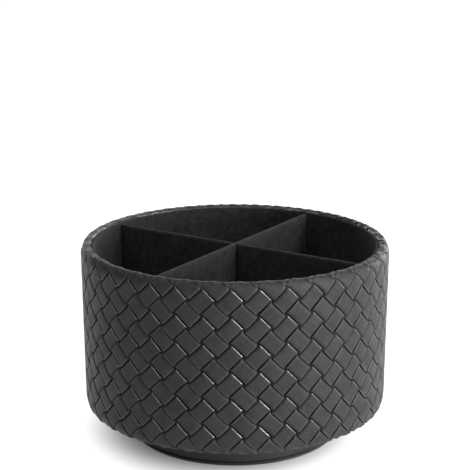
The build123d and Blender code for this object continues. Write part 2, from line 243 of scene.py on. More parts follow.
def new_piece(mesh, material, body, slot, *nodes):
    """A finished piece that rides on a body and stands for CAD nodes."""
    piece = new_object(mesh.name, mesh)
    if material.name not in [m.name for m in mesh.materials if m]:
        mesh.materials.clear()
        mesh.materials.append(material)
    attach(piece, body)
    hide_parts(*nodes)
    return piece


def soften(mesh, amount, size, seed):
    """Moves each point along its normal by a smooth unevenness."""
    normals = [v.normal.copy() for v in mesh.vertices]
    for vertex, normal in zip(mesh.vertices, normals):
        vertex.co += normal * amount * noise.noise(vertex.co / size + Vector((seed, 0, 0)))
    mesh.update()


pad_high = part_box("foot_pad")[1]
pad_edge = 0.35 * mm
foam = fibrous(
    "closed_cell_foam", dark=(0.006, 0.006, 0.0065), light=(0.016, 0.016, 0.017),
    fibres=900, patches=60, depth=0.15 * mm, roughness=0.75,
)
pad_outline = rounded([(0, 0), (pad_high.x, 0, pad_edge), (pad_high.x, pad_high.z), (0, pad_high.z)])
pad_mesh = turned_mesh("foot_pad_foam", pad_outline, longest=6 * mm, segments=192)
foot_pad = new_piece(pad_mesh, foam, "base", "foam_pad", "foot_pad")


# Foot plate
# The still half of the turntable, injection moulded in black ABS. Its sides are lightly textured,
# and the lip under the turning band is the only part of it that shows.

def scuff_group():
    """Fine texture of a mould or a rolled sheet, crossed by faint rubbed patches."""
    tree, given, made = new_group(
        "surface_scuffs",
        "ShaderNodeTree",
        {"Place": "Vector", "Grains per metre": "Float", "Rubs per metre": "Float"},
        {"Height": "Float", "Rub": "Float"},
    )
    sizes = {"Vector": given["Place"], "Scale": given["Grains per metre"], "Randomness": 0.9}
    grains = add(tree, "ShaderNodeTexVoronoi", sizes)
    rubs = soft_noise(tree, given["Place"], given["Rubs per metre"], 5.0, 0.6)
    tree.links.new(grains.outputs["Distance"], made["Height"])
    tree.links.new(spread(tree, rubs, 0.4, 0.7), made["Rub"])
    return tree


surface_scuffs = scuff_group()


def hard(name, dark, light, grains, rubs, depth, roughness, metallic=0.0):
    """Material of a moulded or pressed piece, with rubbed patches lighter and smoother."""
    material, tree, surface, place = new_material(name)
    sizes = {"Place": place, "Grains per metre": grains, "Rubs per metre": rubs}
    scuffs = add(tree, "ShaderNodeGroup", sizes, node_tree=surface_scuffs).outputs
    rubbed_roughness = 0.75 * roughness
    finish = {
        "Base Color": blend_colours(tree, scuffs["Rub"], (*dark, 1), (*light, 1)),
        "Roughness": spread(tree, scuffs["Rub"], 0, 1, roughness, rubbed_roughness),
        "Metallic": metallic,
    }
    feed(tree, surface, finish)
    raise_relief(tree, surface, scuffs["Height"], depth)
    return material


def finish_node(node, material):
    """Gives a CAD node its material."""
    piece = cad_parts[node]
    if not piece.material_slots:
        piece.data.materials.append(material)
    for material_slot in piece.material_slots:
        material_slot.material = material


moulded_plastic = hard(
    "textured_black_abs", dark=(0.008, 0.008, 0.0085), light=(0.016, 0.016, 0.017),
    grains=2200, rubs=45, depth=0.03 * mm, roughness=0.5,
)
finish_node("foot_plate", moulded_plastic)


# Lower race and its screws
# A ring pressed from steel strip and zinc plated, with the groove that the balls run in. Three
# self-tapping cheese-headed screws hold its flange to bosses on the foot plate.

race_steel = hard(
    "zinc_plated_strip", dark=(0.42, 0.43, 0.45), light=(0.6, 0.61, 0.63),
    grains=700, rubs=90, depth=0.01 * mm, roughness=0.34, metallic=1.0,
)
screw_steel = hard(
    "zinc_plated_wire", dark=(0.36, 0.36, 0.37), light=(0.55, 0.55, 0.57),
    grains=900, rubs=200, depth=0.005 * mm, roughness=0.3, metallic=1.0,
)
finish_node("lower_race", race_steel)


def screw_mesh(name, diameter, length, head_diameter, head_height, pitch):
    """Cross-recessed cheese-headed screw with a rolled thread, its tip up and its head below zero."""
    segments, steps_per_turn = 24, 6
    thread_depth = 0.3 * pitch
    plain_length, taper_length, tip_narrowing = 0.5 * pitch, 1.5 * pitch, 0.45
    angles = np.arange(segments) * 2 * math.pi / segments
    points, rings = [], []

    def add_ring(radii, levels):
        rings.append(list(range(len(points), len(points) + segments)))
        for angle, radius, level in np.broadcast(angles, radii, levels):
            points.append((radius * math.cos(angle), radius * math.sin(angle), level))

    recess_width, recess_reach, recess_depth = 0.22 * head_diameter, 0.36 * head_diameter, 0.6 * head_height
    recess_rings, recess_rise = (0.25, 0.5, 0.75, 0.95, 1.05), 0.5
    edge = 0.12 * head_height
    for share in recess_rings:
        radius = share * recess_reach
        across = np.minimum(abs(radius * np.cos(angles)), abs(radius * np.sin(angles)))
        deep = (across < recess_width / 2) & (share < 1)
        add_ring(radius, np.where(deep, recess_depth * (1 - recess_rise * share), 0.0) - head_height)
    add_ring(head_diameter / 2 - edge, -head_height)
    add_ring(head_diameter / 2, edge - head_height)
    add_ring(head_diameter / 2, 0)
    add_ring(diameter / 2, 0)
    count = math.ceil(length / pitch * steps_per_turn)
    for step in range(1, count + 1):
        level = length * step / count
        turn = (level / pitch - angles / (2 * math.pi)) % 1
        groove = thread_depth * (1 - abs(2 * turn - 1)) * (level > plain_length)
        tip = 1 - tip_narrowing * max(0.0, (level - length + taper_length) / taper_length)
        add_ring((diameter / 2 - groove) * tip, level)
    points += [(0, 0, recess_depth - head_height), (0, 0, length)]
    faces = []
    for near, far in zip(rings, rings[1:]):
        faces += [(near[i], near[i - 1], far[i - 1], far[i]) for i in range(segments)]
    faces += [(len(points) - 2, rings[0][i - 1], rings[0][i]) for i in range(segments)]
    faces += [(len(points) - 1, rings[-1][i], rings[-1][i - 1]) for i in range(segments)]
    return new_mesh(name, points, faces)


def calculate_vector(tree, operation, first, second=(0, 0, 0)):
    """Output of a vector math node on two vectors, or on a vector and its scale."""
    inputs = {0: first, "Scale" if operation == "SCALE" else 1: second}
    return add(tree, "ShaderNodeVectorMath", inputs, operation=operation).outputs[0]


def ring_tree():
    """Copies of a mesh evenly round the spindle, joined into one mesh with its material."""
    tree, given, made = new_group(
        "copies_round_the_spindle",
        "GeometryNodeTree",
        {
            "Geometry": "Geometry", "Count": "Int", "First angle": "Float", "Sway": "Float",
            "Unevenness": "Float", "Patch size": "Float", "Seed": "Int", "Material": "Material",
        },
        {"Geometry": "Geometry"},
    )
    points = add(tree, "GeometryNodePoints", {"Count": given["Count"]})
    index = add(tree, "GeometryNodeInputIndex").outputs[0]
    step = calculate(tree, "DIVIDE", 2 * math.pi, given["Count"])
    even = calculate(tree, "ADD", calculate(tree, "MULTIPLY", index, step), given["First angle"])
    sway = add(tree, "FunctionNodeRandomValue", {2: -1.0, 3: 1.0, "Seed": given["Seed"]}, data_type="FLOAT")
    angle = calculate(tree, "ADD", even, calculate(tree, "MULTIPLY", sway.outputs[1], given["Sway"]))
    turn = add(tree, "ShaderNodeCombineXYZ", {"Z": angle})
    rotation = add(tree, "FunctionNodeEulerToRotation", {0: turn.outputs[0]})
    parts = {"Points": points.outputs[0], "Instance": given["Geometry"], "Rotation": rotation.outputs[0]}
    copies = add(tree, "GeometryNodeInstanceOnPoints", parts)
    tone_seed = 7
    tone = add(tree, "FunctionNodeRandomValue", {2: 0.0, 3: 1.0, "Seed": tone_seed}, data_type="FLOAT")
    label = {"Geometry": copies.outputs[0], "Name": "tone", "Value": tone.outputs[1]}
    named = add(
        tree, "GeometryNodeStoreNamedAttribute", label, data_type="FLOAT", domain="INSTANCE"
    )
    joined = add(tree, "GeometryNodeRealizeInstances", {"Geometry": named.outputs[0]})
    place = add(tree, "GeometryNodeInputPosition").outputs[0]
    flat = calculate_vector(tree, "MULTIPLY", place, (1, 1, 0))
    outwards = calculate_vector(tree, "NORMALIZE", flat)
    patch = calculate_vector(tree, "DIVIDE", place, given["Patch size"])
    centred = calculate(tree, "SUBTRACT", soft_noise(tree, patch, 1.0, 1.0), 0.5)
    height = calculate(tree, "MULTIPLY", centred, given["Unevenness"])
    shift = calculate_vector(tree, "SCALE", outwards, height)
    moved = add(tree, "GeometryNodeSetPosition", {"Geometry": joined.outputs[0], "Offset": shift})
    finish = {"Geometry": moved.outputs[0], "Material": given["Material"]}
    painted = add(tree, "GeometryNodeSetMaterial", finish)
    tree.links.new(painted.outputs[0], made["Geometry"])
    return tree


copies_round_the_spindle = ring_tree()


def plain_mesh(holder, name):
    """Mesh of an object with its modifiers applied. The object and its own mesh are removed."""
    bpy.context.view_layer.update()
    evaluated = holder.evaluated_get(bpy.context.evaluated_depsgraph_get())
    source = holder.data
    mesh = bpy.data.meshes.new_from_object(evaluated)
    holder.modifiers.clear()
    bpy.data.objects.remove(holder)
    bpy.data.meshes.remove(source)
    mesh.name = name
    return mesh


def ring_mesh(pattern, count, material, first_angle=0.0, sway=0.0, unevenness=0.0, patch_size=1.0, seed=1):
    """Plain mesh of a pattern repeated round the spindle."""
    holder = new_object(pattern.name, pattern)
    repeat = holder.modifiers.new("repeat", "NODES")
    repeat.node_group = copies_round_the_spindle
    wanted = {
        "Count": count, "First angle": first_angle, "Sway": sway, "Unevenness": unevenness,
        "Patch size": patch_size, "Seed": seed, "Material": material,
    }
    for item in copies_round_the_spindle.interface.items_tree:
        if item.in_out == "INPUT" and item.name in wanted:
            repeat[item.identifier] = wanted[item.name]
    return plain_mesh(holder, pattern.name)


def screw_ring(node, body, count, first_angle, head_up, diameter, head_diameter, head_height, pitch):
    """Screws round the spindle that stand for a CAD node, at its level and radius."""
    low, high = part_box(node)
    length = high.z - low.z - head_height
    pattern = screw_mesh(f"{node}_threaded", diameter, length, head_diameter, head_height, pitch)
    if head_up:
        pattern.transform(Matrix.Rotation(math.pi, 4, "X"))
    seat = high.z - head_height if head_up else low.z + head_height
    radius = max(high.x, -low.x) - head_diameter / 2
    pattern.transform(Matrix.Translation((radius, 0, seat)))
    mesh = ring_mesh(pattern, count, screw_steel, first_angle=first_angle)
    return new_piece(mesh, screw_steel, body, "screw_steel", node)


race_screw = dict(diameter=2.6 * mm, head_diameter=5.0 * mm, head_height=1.5 * mm, pitch=0.9 * mm)
screw_ring("lower_race_screws", "base", count=3, first_angle=math.pi / 3, head_up=True, **race_screw)


# Ball cage and balls
# A flat ring of natural nylon keeps ten chrome steel balls apart as they roll between the races.
# The balls are ground and polished, and carry a thin film of grease.

cage_nylon = hard(
    "natural_nylon", dark=(0.5, 0.48, 0.42), light=(0.62, 0.6, 0.54),
    grains=1200, rubs=80, depth=0.01 * mm, roughness=0.45,
)
finish_node("ball_cage", cage_nylon)
ball_steel = hard(
    "polished_chrome_steel", dark=(0.55, 0.55, 0.56), light=(0.7, 0.7, 0.71),
    grains=400, rubs=300, depth=0.001 * mm, roughness=0.12, metallic=1.0,
)
ball_count = 10
ball_low, ball_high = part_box("bearing_balls")
ball_radius = (ball_high.z - ball_low.z) / 2
ball_place = (ball_high.x - ball_radius, 0, ball_low.z + ball_radius)


def shape_mesh(name, shape):
    """Mesh of a finished shape."""
    mesh = bpy.data.meshes.new(name)
    shape.to_mesh(mesh)
    shape.free()
    return mesh


ball_shape = bmesh.new()
ball_matrix = Matrix.Translation(ball_place)
bmesh.ops.create_icosphere(ball_shape, subdivisions=4, radius=ball_radius, matrix=ball_matrix)
ball_mesh = shape_mesh("bearing_balls_polished", ball_shape)
ball_mesh.shade_smooth()
new_piece(ring_mesh(ball_mesh, ball_count, ball_steel), ball_steel, "cage", "ball_steel", "bearing_balls")


# Upper race, turntable housing and spindle
# The upper race is the lower one turned over. It is screwed under the housing, an upturned cup of
# black ABS whose centre boss turns in the hub, held down by a screw and a wide washer.

finish_node("upper_race", race_steel)
finish_node("turntable_housing", moulded_plastic)
finish_node("pivot_washer", race_steel)
deck_screw = dict(diameter=3.2 * mm, head_diameter=6.4 * mm, head_height=1.8 * mm, pitch=1.1 * mm)
spindle_screw = dict(diameter=5.0 * mm, head_diameter=10.0 * mm, head_height=2.4 * mm, pitch=1.6 * mm)
screw_ring("upper_race_screws", "drum", count=3, first_angle=0, head_up=False, **race_screw)
screw_ring("deck_screws", "drum", count=3, first_angle=0, head_up=False, **deck_screw)
screw_ring("pivot_screw", "drum", count=1, first_angle=0, head_up=False, **spindle_screw)


# Base band
# A strip of smooth black leather glued round the skirt of the housing and turned under its lower
# edge. Its ends meet in a butt seam at the back.

def grain_group():
    """Leather grain: pebbles parted by fine creases, and a shade that drifts over the skin."""
    tree, given, made = new_group(
        "leather_grain",
        "ShaderNodeTree",
        {"Place": "Vector", "Pebbles per metre": "Float", "Patches per metre": "Float"},
        {"Height": "Float", "Shade": "Float"},
    )
    crease_wander, dome_reach = 0.6, 0.3
    wobble_sizes = {"Vector": given["Place"], "Scale": given["Pebbles per metre"]}
    wobble = add(tree, "ShaderNodeTexNoise", wobble_sizes).outputs["Color"]
    offset = calculate_vector(tree, "SUBTRACT", wobble, (0.5, 0.5, 0.5))
    reach = calculate(tree, "DIVIDE", crease_wander, given["Pebbles per metre"])
    moved = calculate_vector(tree, "SCALE", offset, reach)
    place = calculate_vector(tree, "ADD", given["Place"], moved)
    pebble_sizes = {"Vector": place, "Scale": given["Pebbles per metre"]}
    pebbles = add(tree, "ShaderNodeTexVoronoi", pebble_sizes, feature="DISTANCE_TO_EDGE")
    domes = spread(tree, pebbles.outputs["Distance"], 0.0, dome_reach)
    patches = soft_noise(tree, given["Place"], given["Patches per metre"], 4.0)
    tree.links.new(calculate(tree, "POWER", domes, 0.5), made["Height"])
    tree.links.new(spread(tree, patches, 0.3, 0.7), made["Shade"])
    return tree


leather_grain = grain_group()


def leather(name, dark, light, pebbles, patches, depth, roughness, specular):
    """Black leather with its grain. Returns what is needed to add more to it."""
    material, tree, surface, place = new_material(name)
    sizes = {"Place": place, "Pebbles per metre": pebbles, "Patches per metre": patches}
    grain = add(tree, "ShaderNodeGroup", sizes, node_tree=leather_grain).outputs
    unevenness = 0.05
    colour = blend_colours(tree, grain["Shade"], (*dark, 1), (*light, 1))
    uneven = spread(tree, grain["Shade"], 0, 1, roughness + unevenness, roughness - unevenness)
    feed(tree, surface, {"Base Color": colour, "Roughness": uneven, "Specular IOR Level": specular})
    raise_relief(tree, surface, grain["Height"], depth)
    return material, tree, surface, colour, uneven


band_leather = leather(
    "smooth_black_leather", dark=(0.019, 0.019, 0.0185), light=(0.026, 0.026, 0.0255),
    pebbles=1500, patches=60, depth=0.03 * mm, roughness=0.5, specular=0.25,
)[0]
band_low, band_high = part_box("base_band")
band_thickness, fold_thickness, fold_reach = 0.7 * mm, 0.7 * mm, 2.2 * mm
skirt_radius = band_high.x - band_thickness
skirt_inside = skirt_radius - fold_reach
band_edge, band_fold = 0.3 * mm, 0.65 * mm
band_outline = rounded(
    [
        (skirt_inside, band_low.z, band_edge),
        (band_high.x, band_low.z, band_fold),
        (band_high.x, band_high.z, band_edge),
        (skirt_radius, band_high.z),
        (skirt_radius, band_low.z + fold_thickness),
        (skirt_inside, band_low.z + fold_thickness),
    ]
)
band_mesh = turned_mesh("base_band_leather", band_outline, longest=1.2 * mm, segments=720)
seam_angle, seam_reach, seam_depth = math.radians(122.3), 0.6 * mm, 0.3 * mm
for vertex in band_mesh.vertices:
    radius = math.hypot(vertex.co.x, vertex.co.y)
    from_seam = math.atan2(vertex.co.y, vertex.co.x) - seam_angle
    across = abs(math.remainder(from_seam, 2 * math.pi)) * radius
    if radius > skirt_radius and across < seam_reach:
        inner = 1 - seam_depth * (1 - across / seam_reach) / radius
        vertex.co.x *= inner
        vertex.co.y *= inner
soften(band_mesh, amount=0.06 * mm, size=14 * mm, seed=3)
new_piece(band_mesh, band_leather, "drum", "smooth_leather", "base_band")


# Underside and floor board
# The floor board is fibreboard, screwed to the housing. Under it lie the turned-under cover, a card
# that fills the space inside it, and a disc of black felt glued over both.

fibreboard = fibrous(
    "fibreboard", dark=(0.2, 0.13, 0.075), light=(0.3, 0.2, 0.12),
    fibres=1400, patches=70, depth=0.04 * mm, roughness=0.8,
)
grey_card = fibrous(
    "grey_card", dark=(0.2, 0.19, 0.17), light=(0.28, 0.27, 0.25),
    fibres=2200, patches=90, depth=0.02 * mm, roughness=0.8,
)
finish_node("floor_board", fibreboard)
finish_node("wall_board", fibreboard)
finish_node("infill_card", grey_card)
felt = fibrous(
    "black_felt", dark=(0.006, 0.006, 0.0065), light=(0.02, 0.02, 0.021),
    fibres=1100, patches=130, depth=0.25 * mm, roughness=0.9, sheen=0.25,
)
felt_low, felt_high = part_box("underside_felt")
felt_radius, felt_edge = felt_high.x, 0.3 * mm
felt_outline = rounded(
    [(0, felt_low.z), (felt_radius, felt_low.z, felt_edge), (felt_radius, felt_high.z), (0, felt_high.z)]
)
felt_mesh = turned_mesh("underside_felt_disc", felt_outline, longest=5 * mm, segments=256)
felt_disc = new_piece(felt_mesh, felt, "drum", "felt", "underside_felt")


# Woven cover
# Straps of black leather woven plainly at forty-five degrees, slightly wider than their spacing, so
# that the cells step at their corners. They are glued to a dark cloth that is wrapped round the
# wall board, over its rim and down inside it, and turned under the floor.

cover_low, cover_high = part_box("woven_cover")
rim_radius, rim_level = cover_high.x, cover_high.z
taper = 1.0 * mm
rim_rounding, lower_rounding = 2.2 * mm, 1.2 * mm
rim_width = 5.2 * mm
turned_under_to, turned_in_to = 79 * mm, 110 * mm


def arc_points(centre, radius, first, last, steps=24):
    """Places and directions along an arc from one angle to another, both in degrees."""
    angles = np.radians(np.linspace(first, last, steps + 1))
    out = np.stack([np.cos(angles), np.sin(angles)], 1)
    return np.array(centre) + radius * out, out


def cover_path():
    """The cover's face in radius and level from under the floor to inside the rim, with its directions.

    It is measured along the face, and on the wall that measure is the level above the table."""
    lower = (rim_radius - taper - lower_rounding, cover_low.z + lower_rounding)
    crest = (rim_radius - rim_rounding, rim_level - rim_rounding)
    inner = (rim_radius - rim_width + rim_rounding, rim_level - rim_rounding)
    under, under_out = np.array([(turned_under_to, cover_low.z)]), np.array([(0.0, -1.0)])
    inside, inside_out = np.array([(rim_radius - rim_width, turned_in_to)]), np.array([(-1.0, 0.0)])
    stretches = [
        (under, under_out),
        arc_points(lower, lower_rounding, -90, 0),
        arc_points(crest, rim_rounding, 0, 90),
        arc_points(inner, rim_rounding, 90, 180),
        (inside, inside_out),
    ]
    places, out = (np.concatenate(parts) for parts in zip(*stretches))
    measure = np.concatenate([[0], np.cumsum(np.linalg.norm(np.diff(places, axis=0), axis=1))])
    on_wall = len(stretches[0][0]) + len(stretches[1][0])
    return measure - measure[on_wall] + places[on_wall, 1], places, out


path_measure, path_places, path_out = cover_path()


def on_cover(angle, measure, height):
    """Points at an angle round the drum, a measure along the cover's path and a height off its face."""
    radius = np.interp(measure, path_measure, path_places[:, 0])
    level = np.interp(measure, path_measure, path_places[:, 1])
    out_radius = np.interp(measure, path_measure, path_out[:, 0])
    out_level = np.interp(measure, path_measure, path_out[:, 1])
    radius = radius + out_radius * height
    return np.stack([radius * np.cos(angle), radius * np.sin(angle), level + out_level * height], -1)


strap_count = 37
column_step = 2 * math.pi / strap_count
first_column = math.radians(-59.6)
column_width = column_step * rim_radius
row_height = 15.7 * mm
top_row = 115.2 * mm
repeat_length = math.hypot(column_width, row_height)
strap_width, strap_thickness = 11.7 * mm, 1.75 * mm
crown, bevel_width, bevel_depth = 0.1 * mm, 0.38 * mm, 0.28 * mm
over_height, under_height, arch = 1.15 * mm, -0.87 * mm, 0.06 * mm
sink_depth, glued_level = 0.6 * mm, -0.88 * mm

# Ranges across a strap, from its middle out or from its crown down: where its surface is rubbed,
# where its bevel turns glossy and takes a painted highlight, and where its dark cut edge begins.
edge_rubbing = (strap_width / 2 - 3.6 * bevel_width, strap_width / 2 - 1.6 * bevel_width)
bevel_shining = (crown, crown + 0.14 * bevel_depth)
edge_cutting = (crown + 0.9 * bevel_depth, crown + 1.1 * bevel_depth)

# Distances along a strap from the middle of a cell: where it has rows of points, where its flat
# ends and its dip is deepest, and the ranges in which its gloss and painted highlight fade and in
# which its dip is darkened with painted shade.
first_cell, last_cell = -8, 2
strap_stations = np.array([0, 2.6, 3.7, 4.1, 4.4, 4.65, 4.9, 5.1, 5.35, 5.65]) * mm
flat_reach, dip_reach = 3.7 * mm, 5.65 * mm
gloss_fading = (4.1 * mm, 4.7 * mm)
painted_dip_shading = (4.6 * mm, 5.05 * mm)
least_step, rim_step = 0.1 * mm, 0.6 * mm

# Measures along the cover's path: the ranges in which the weave's relief fades near the rim and
# grows from the foot, in which the rim turns glossy and takes a painted highlight, and over which
# felt and lining hide it.
rim_fading = (rim_level - 5 * mm, rim_level - 1.5 * mm)
foot_bend = path_places[:, 1].min()
foot_growing = (foot_bend, foot_bend + 6 * mm)
rim_top = rim_level + (math.pi / 2 - 1) * rim_rounding
rim_highlight_band = (rim_top - 0.3 * mm, rim_top + 0.7 * mm)
felt_measure = path_measure[0] + felt_radius - turned_under_to
felt_hiding = (felt_measure + 0.4 * mm, felt_measure + 2 * mm)
lining_measure = path_measure[-1] - (rim_level - rim_rounding - turned_in_to)
lining_hiding = (lining_measure - 1.3 * mm, lining_measure)

# Shares of the relief that are left at the rim and the foot, the darkness of a cut edge where there
# is no relief, and the gloss and painted highlight of the rim, of a falling strap's two edges (most
# on the edge that faces the light) and of a rising strap's.
rim_relief, foot_relief, least_edge = 0.11, 0.25, 0.4
rim_gloss_and_highlight, lit_side_gloss_and_highlight, shaded_side_gloss_and_highlight, rising_gloss_and_highlight = 0.38, 1.0, 0.3, 0.15


def smooth_step(value, low, high):
    """0 below low, 1 above high, and a smooth rise between them."""
    share = np.clip((value - low) / (high - low), 0, 1)
    return share * share * (3 - 2 * share)


def strap_section():
    """Outline across a strap: distances from its middle, and depths below its crown, all the way round.

    Its edge is bevelled and glossy, then cut square and drawn in a little underneath."""
    half = strap_width / 2
    side = np.array(
        [
            (0.0, 0.0),
            (half - 4.0 * bevel_width, 0.5 * crown),
            (half - 1.6 * bevel_width, crown),
            (half - 1.1 * bevel_width, crown + 0.04 * bevel_depth),
            (half - 0.92 * bevel_width, crown + 0.14 * bevel_depth),
            (half - 0.2 * bevel_width, crown + 0.84 * bevel_depth),
            (half - 0.04 * bevel_width, crown + 1.1 * bevel_depth),
            (half, crown + 0.55 * strap_thickness),
            (half - 0.1 * bevel_width, crown + strap_thickness),
        ]
    )
    return np.concatenate([side[:, 0], -side[:0:-1, 0]]), np.concatenate([side[:, 1], side[:0:-1, 1]])


def tube_mesh(name, points):
    """Mesh of rings of points, joined one to the next and capped at both ends."""
    rings, steps = points.shape[:2]
    index = np.arange(rings * steps).reshape(rings, steps)
    near, far = index[:-1], index[1:]
    sides = np.stack([near, np.roll(near, -1, 1), np.roll(far, -1, 1), far], -1).reshape(-1, 4)
    caps = [index[0][::-1].tolist(), index[-1].tolist()]
    return new_mesh(name, points.reshape(-1, 3), [*sides.tolist(), *caps])


def strap_mesh(name, lean):
    """One strap from under the floor, up the wall and over the rim. It leans right (1) or left (-1).

    Its masks say where it is rubbed and cut, where it is glossy and takes a painted highlight, and where its
    dips take painted shade; its lay gives places along it."""
    over_phase = 0.0 if lean > 0 else 0.5
    stations = strap_stations / repeat_length
    cells = np.arange(first_cell, last_cell + 1)[:, None] + over_phase
    cells = cells + np.concatenate([stations, -stations[1:]])
    bends = np.arange(rim_level - rim_rounding, lining_measure, rim_step)
    measures = np.sort(np.concatenate([top_row + cells.ravel() * row_height, bends]))
    inset = strap_width / 2
    measures = measures[(measures > path_measure[0] + inset) & (measures < path_measure[-1] - inset)]
    measures = measures[np.concatenate([[True], np.diff(measures) > least_step])]
    rows = (measures - top_row) / row_height
    from_cell = abs(rows - over_phase - np.round(rows - over_phase)) * repeat_length
    across, depth = strap_section()
    angle = first_column + column_step * (0.5 + lean * rows[:, None])
    angle = angle + across * row_height / repeat_length / rim_radius
    measure = measures[:, None] - lean * across * column_width / repeat_length

    hidden = 1 - smooth_step(measure, *felt_hiding) + smooth_step(measure, *lining_hiding)
    relief = 1 - (1 - rim_relief) * smooth_step(measure, *rim_fading)
    relief = relief * (foot_relief + (1 - foot_relief) * smooth_step(measure, *foot_growing))
    dip = smooth_step(from_cell, flat_reach, dip_reach)
    arched = arch * (1 - np.minimum(from_cell / flat_reach, 1) ** 2)
    top = over_height + crown + (arched + (under_height - over_height) * dip)[:, None]
    height = np.maximum((top - depth) * relief, glued_level) - sink_depth * hidden
    mesh = tube_mesh(name, on_cover(angle, measure, height))

    edge = smooth_step(depth, *edge_cutting) * (least_edge + (1 - least_edge) * relief)
    rub = smooth_step(abs(across), *edge_rubbing) - edge
    # Gloss with a painted highlight: most on a falling strap's edge that faces the light, less on its other
    # edge, little on a rising strap.
    polish_and_highlight = np.where(across > 0, lit_side_gloss_and_highlight, shaded_side_gloss_and_highlight) if lean < 0 else rising_gloss_and_highlight
    unfaded = 1 - smooth_step(from_cell, *gloss_fading)[:, None]
    gloss_and_painted_highlight = (smooth_step(depth, *bevel_shining) - edge) * unfaded * relief**2 * polish_and_highlight
    # The rim's top takes gloss and a painted highlight too.
    gloss_and_painted_highlight = gloss_and_painted_highlight + rim_gloss_and_highlight * smooth_step(measure, *rim_highlight_band) * (1 - edge)
    # Painted shade: the strap darkens where it dips under its neighbour.
    painted_dip_shade = smooth_step(from_cell, *painted_dip_shading)[:, None]
    for label, value in (("rub", rub), ("edge", edge), ("gloss_and_painted_highlight", gloss_and_painted_highlight), ("dip", painted_dip_shade)):
        field = mesh.attributes.new(label, "FLOAT", "POINT")
        shares = np.broadcast_to(value, angle.shape).astype(np.float32)
        field.data.foreach_set("value", shares.ravel())
    lay = np.stack(np.broadcast_arrays(across, (rows * repeat_length)[:, None], 0.0), -1)
    field = mesh.attributes.new("lay", "FLOAT_VECTOR", "POINT")
    field.data.foreach_set("vector", lay.astype(np.float32).ravel())
    return mesh


def strap_leather():
    """Leather of the straps: each a little lighter or darker, its edges rubbed, its bevels glossy with a
    painted highlight and its dips darkened with painted shade.
    """
    material, tree, surface, colour, uneven = leather(
        "woven_black_leather", dark=(0.016, 0.016, 0.0155), light=(0.028, 0.028, 0.027),
        pebbles=1300, patches=110, depth=0.02 * mm, roughness=0.46, specular=0.11,
    )
    tone, rub, edge, gloss_and_painted_highlight, dip = (
        add(tree, "ShaderNodeAttribute", attribute_name=label).outputs["Fac"]
        for label in ("tone", "rub", "edge", "gloss_and_painted_highlight", "dip")
    )
    lay = add(tree, "ShaderNodeAttribute", attribute_name="lay").outputs["Vector"]
    creases_per_metre, crease_depth, tone_shift = (900, 170, 0), 0.09 * mm, 60
    own_place = add(tree, "ShaderNodeCombineXYZ", {"Z": calculate(tree, "MULTIPLY", tone, tone_shift)})
    stretched = calculate_vector(tree, "MULTIPLY", lay, creases_per_metre)
    along = calculate_vector(tree, "ADD", stretched, own_place.outputs[0])
    crease = spread(tree, soft_noise(tree, along, 1.0, 4.0), 0.3, 0.7)
    raise_relief(tree, surface, crease, crease_depth)

    # From the skin outwards: creases, the strap's own tone, rubbed edges, the painted highlight on the
    # glossy bevels and rim, cut edges, and painted shade in the dips, each with the most that it covers
    # and its colour.
    layers = (
        (crease, 0.5, (0.046, 0.046, 0.045)),
        (tone, 0.3, (0.036, 0.036, 0.035)),
        (rub, 0.5, (0.05, 0.05, 0.049)),
        # Painted highlight: the glossy bevels and the rim are lightened in colour.
        (gloss_and_painted_highlight, 0.8, (0.11, 0.11, 0.108)),
        (edge, 0.9, (0.004, 0.004, 0.004)),
        # Painted shade: the dips are darkened in colour.
        (dip, 0.5, (0.004, 0.004, 0.004)),
    )
    for mask, share, layer in layers:
        colour = blend_colours(tree, calculate(tree, "MULTIPLY", mask, share), colour, (*layer, 1))
    edge_roughness = 0.3
    rougher = {0: edge, 1: edge_roughness, 2: uneven}
    finish = {
        "Base Color": colour,
        "Roughness": add(tree, "ShaderNodeMath", rougher, operation="MULTIPLY_ADD").outputs[0],
        "Coat Weight": gloss_and_painted_highlight,
        "Coat Roughness": 0.2,
        "Coat IOR": 1.75,
    }
    feed(tree, surface, finish)
    return material


woven_leather = strap_leather()
for way, lean, seed in (("rising", 1, 11), ("falling", -1, 23)):
    straps = ring_mesh(
        strap_mesh(f"woven_cover_{way}_straps", lean), strap_count, woven_leather,
        sway=0.0012, unevenness=0.14 * mm, patch_size=9 * mm, seed=seed,
    )
    new_piece(straps, woven_leather, "drum", "woven_leather", "woven_cover")

backing_level, backing_thickness = 0.9 * mm, 0.06 * mm
# The backing is a real cloth, but its near-black colour also stands in for the shade in the gaps between the
# straps: partly painted shade.
backing_cloth = fibrous(
    "dark_backing_cloth", dark=(0.002, 0.002, 0.002), light=(0.005, 0.005, 0.005),
    fibres=2500, patches=200, depth=0.05 * mm, roughness=0.9,
)
backing_front = path_places - path_out * backing_level
backing_back = path_places - path_out * (backing_level + backing_thickness)
backing_outline = [tuple(place) for place in (*backing_front, *backing_back[::-1])]
backing_mesh = turned_mesh("woven_cover_backing", backing_outline, longest=8 * mm, segments=256)
backing = new_piece(backing_mesh, backing_cloth, "drum", "woven_leather", "woven_cover")


# Wall lining
# A tube of card stands on the floor board inside the wall. Its inner face is covered with black
# velvet, turned over the top edge of the card just below the rim.

finish_node("wall_lining_card", grey_card)
velvet = fibrous(
    "black_velvet", dark=(0.006, 0.006, 0.006), light=(0.025, 0.025, 0.025),
    fibres=1600, patches=320, depth=0.25 * mm, roughness=0.85, sheen=0.05,
)
velvet_thickness, card_thickness = 0.5 * mm, 0.8 * mm
lining_low, lining_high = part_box("wall_lining_velvet")


def face_radius(level, inset):
    """Radius so far inside the tapered outer face at a level."""
    return rim_radius - taper * (rim_level - level) / (rim_level - cover_low.z) - inset


